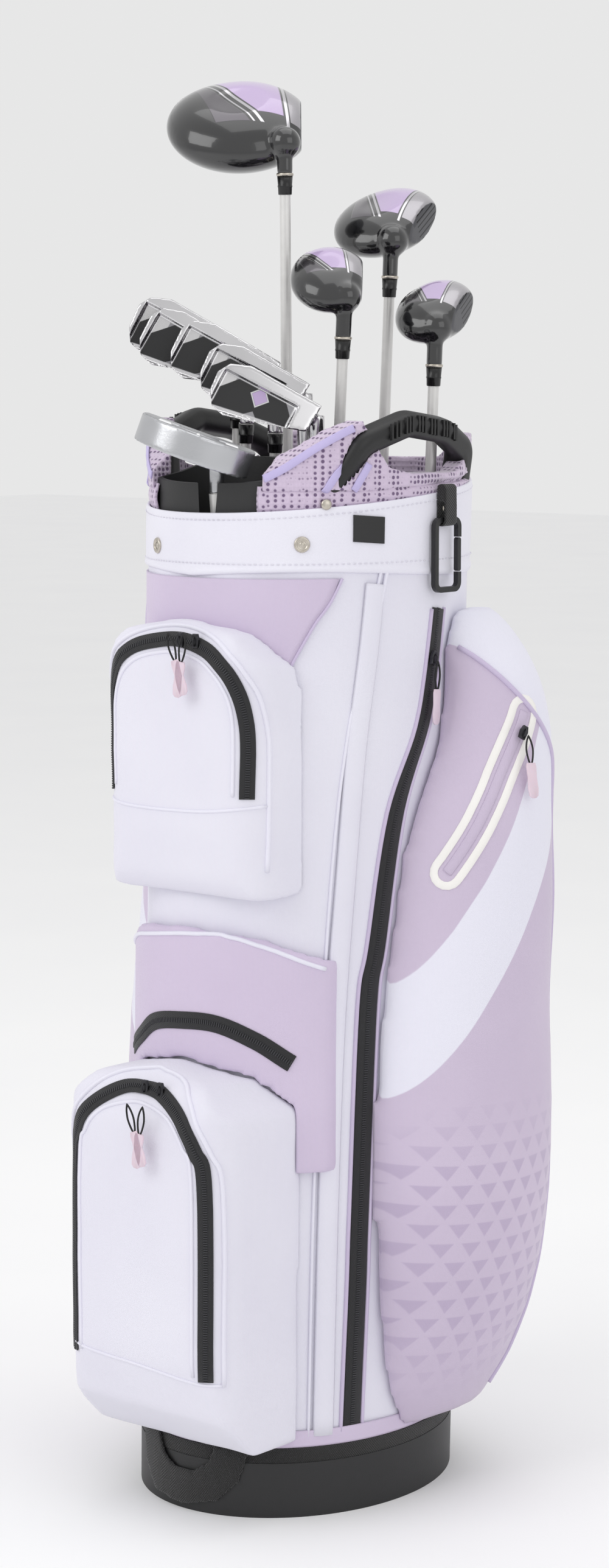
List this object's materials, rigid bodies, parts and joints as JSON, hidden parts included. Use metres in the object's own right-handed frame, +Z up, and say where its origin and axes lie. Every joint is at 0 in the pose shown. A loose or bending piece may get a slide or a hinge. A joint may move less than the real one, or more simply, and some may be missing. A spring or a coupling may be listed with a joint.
{
  "type": "golf club set",
  "caption": "Cart-style golf bag with moulded boot, padded divider top, lift handles, putter well and zipped pockets, holding woods, hybrids, cavity-back irons and a mallet putter.",
  "frame": {"origin": "middle of the underside of the bag's moulded boot", "axes": "+Z up; -Y is the bag's front, where the ball pocket and putter well are; +X is the bag's right side"},
  "size_m": [0.4064, 0.4213, 1.1619],
  "materials": {
    "white_fabric": "coated polyester twill, faint lilac white",
    "white_leatherette": "smooth coated fabric over board",
    "lilac_fabric": "coated polyester, lilac",
    "lilac_mesh": "air mesh over foam, lilac",
    "black_plastic": "moulded, fine matte",
    "black_webbing": "woven webbing",
    "black_zip": "coil zip tape",
    "zip_metal": "black coated die-cast slider",
    "pink_rubber": "soft pale pink-lilac",
    "nickel": "nickel plated",
    "satin_shaft": "satin silver paint over the shaft",
    "grip_rubber": "moulded rubber grip",
    "wood_black": "gloss black",
    "chrome_head": "polished chrome",
    "silver_head": "bead-blasted silver"
  },
  "bodies": {
    "bag": {"base_boot": "black_plastic", "base_band": "black_webbing", "bag_body": "white_fabric", "cuff": "white_leatherette", "top_frame": "black_plastic", "putter_well": "black_plastic", "handle_right": "black_plastic", "handle_left": "black_plastic", "collar_pads": "lilac_mesh", "upper_pocket": "white_fabric", "upper_zip": "black_zip", "ball_pocket": "white_fabric", "ball_zip": "black_zip", "mid_pocket": "lilac_fabric", "mid_zip": "black_zip", "side_pocket_right": "white_fabric", "side_pocket_left": "white_fabric", "side_zips": "black_zip", "towel_loop": "black_webbing", "grab_strap": "black_webbing", "shoulder_strap": "black_webbing", "cuff_hardware": "nickel"},
    "driver": {"driver_head": "wood_black", "driver_shaft": "satin_shaft", "driver_grip": "grip_rubber"},
    "wood_3": {"wood_3_head": "wood_black", "wood_3_shaft": "satin_shaft", "wood_3_grip": "grip_rubber"},
    "hybrid_5": {"hybrid_5_head": "wood_black", "hybrid_5_shaft": "satin_shaft", "hybrid_5_grip": "grip_rubber"},
    "hybrid_6": {"hybrid_6_head": "wood_black", "hybrid_6_shaft": "satin_shaft", "hybrid_6_grip": "grip_rubber"},
    "iron_7": {"iron_7_head": "chrome_head", "iron_7_shaft": "satin_shaft", "iron_7_grip": "grip_rubber"},
    "iron_8": {"iron_8_head": "chrome_head", "iron_8_shaft": "satin_shaft", "iron_8_grip": "grip_rubber"},
    "iron_9": {"iron_9_head": "chrome_head", "iron_9_shaft": "satin_shaft", "iron_9_grip": "grip_rubber"},
    "pitching_wedge": {"pitching_wedge_head": "chrome_head", "pitching_wedge_shaft": "satin_shaft", "pitching_wedge_grip": "grip_rubber"},
    "sand_wedge": {"sand_wedge_head": "chrome_head", "sand_wedge_shaft": "satin_shaft", "sand_wedge_grip": "grip_rubber"},
    "putter": {"putter_head": "silver_head", "putter_shaft": "satin_shaft", "putter_grip": "grip_rubber"},
    "side_slider": {"side_slider": "zip_metal"},
    "side_pull": {"side_pull": "pink_rubber"},
    "accessory_slider": {"accessory_slider": "zip_metal"},
    "accessory_pull": {"accessory_pull": "pink_rubber"},
    "upper_pulls": {"upper_pulls": "pink_rubber"},
    "ball_pulls": {"ball_pulls": "pink_rubber"},
    "carabiner": {"carabiner": "black_plastic"},
    "carabiner_gate": {"carabiner_gate": "black_plastic"}
  },
  "joints": [
    {"name": "driver_lift", "type": "slide", "parent": "bag", "child": "driver", "axis": [0.0023, -0.0144, 0.9999], "range_m": [0, 0.8]},
    {"name": "wood_3_lift", "type": "slide", "parent": "bag", "child": "wood_3", "axis": [0.0252, 0.0245, 0.9994], "range_m": [0, 0.8]},
    {"name": "hybrid_5_lift", "type": "slide", "parent": "bag", "child": "hybrid_5", "axis": [0.053, -0.0029, 0.9986], "range_m": [0, 0.8]},
    {"name": "hybrid_6_lift", "type": "slide", "parent": "bag", "child": "hybrid_6", "axis": [0.0262, 0.0155, 0.9995], "range_m": [0, 0.6]},
    {"name": "iron_7_lift", "type": "slide", "parent": "bag", "child": "iron_7", "axis": [0.0084, -0.0159, 0.9998], "range_m": [0, 0.66]},
    {"name": "iron_8_lift", "type": "slide", "parent": "bag", "child": "iron_8", "axis": [0.0299, 0.0169, 0.9994], "range_m": [0, 0.8]},
    {"name": "iron_9_lift", "type": "slide", "parent": "bag", "child": "iron_9", "axis": [0.0168, -0.0006, 0.9999], "range_m": [0, 0.8]},
    {"name": "pitching_wedge_lift", "type": "slide", "parent": "bag", "child": "pitching_wedge", "axis": [0.0016, -0.0117, 0.9999], "range_m": [0, 0.65]},
    {"name": "sand_wedge_lift", "type": "slide", "parent": "bag", "child": "sand_wedge", "axis": [0.0002, -0.008, 1], "range_m": [0, 0.8]},
    {"name": "putter_lift", "type": "slide", "parent": "bag", "child": "putter", "axis": [0.0181, -0.0274, 0.9995], "range_m": [0, 0.75]},
    {"name": "side_zip_run", "type": "slide", "parent": "bag", "child": "side_slider", "axis": [-0.0086, -0.2374, -0.9714], "range_m": [0, 0.015]},
    {"name": "side_pull_swing", "type": "hinge", "parent": "side_slider", "child": "side_pull", "pos_m": [0.12887, 0.02257, 0.6875], "axis": [0, -1, 0], "range_deg": [0, 120]},
    {"name": "accessory_zip_run", "type": "slide", "parent": "bag", "child": "accessory_slider", "axis": [0.0089, -0.5468, -0.8372], "range_m": [0, 0.025]},
    {"name": "accessory_pull_swing", "type": "hinge", "parent": "accessory_slider", "child": "accessory_pull", "pos_m": [0.18762, 0.06502, 0.62785], "axis": [-0.2799, -0.9576, -0.0677], "range_deg": [0, 110]},
    {"name": "upper_pulls_swing", "type": "hinge", "parent": "bag", "child": "upper_pulls", "pos_m": [0.018, -0.1678, 0.717], "axis": [-1, 0, 0], "range_deg": [0, 120]},
    {"name": "ball_pulls_swing", "type": "hinge", "parent": "bag", "child": "ball_pulls", "pos_m": [0.012, -0.2118, 0.349], "axis": [-1, 0, 0], "range_deg": [0, 120]},
    {"name": "carabiner_swing", "type": "hinge", "parent": "bag", "child": "carabiner", "pos_m": [0.12775, 0.034, 0.8], "axis": [0, -1, 0], "range_deg": [0, 100]},
    {"name": "carabiner_gate_spring", "type": "hinge", "parent": "carabiner", "child": "carabiner_gate", "pos_m": [0.12775, 0.0486, 0.7605], "axis": [1, 0, 0], "range_deg": [0, 22], "stiffness_Nm_per_rad": 0.05}
  ]
}
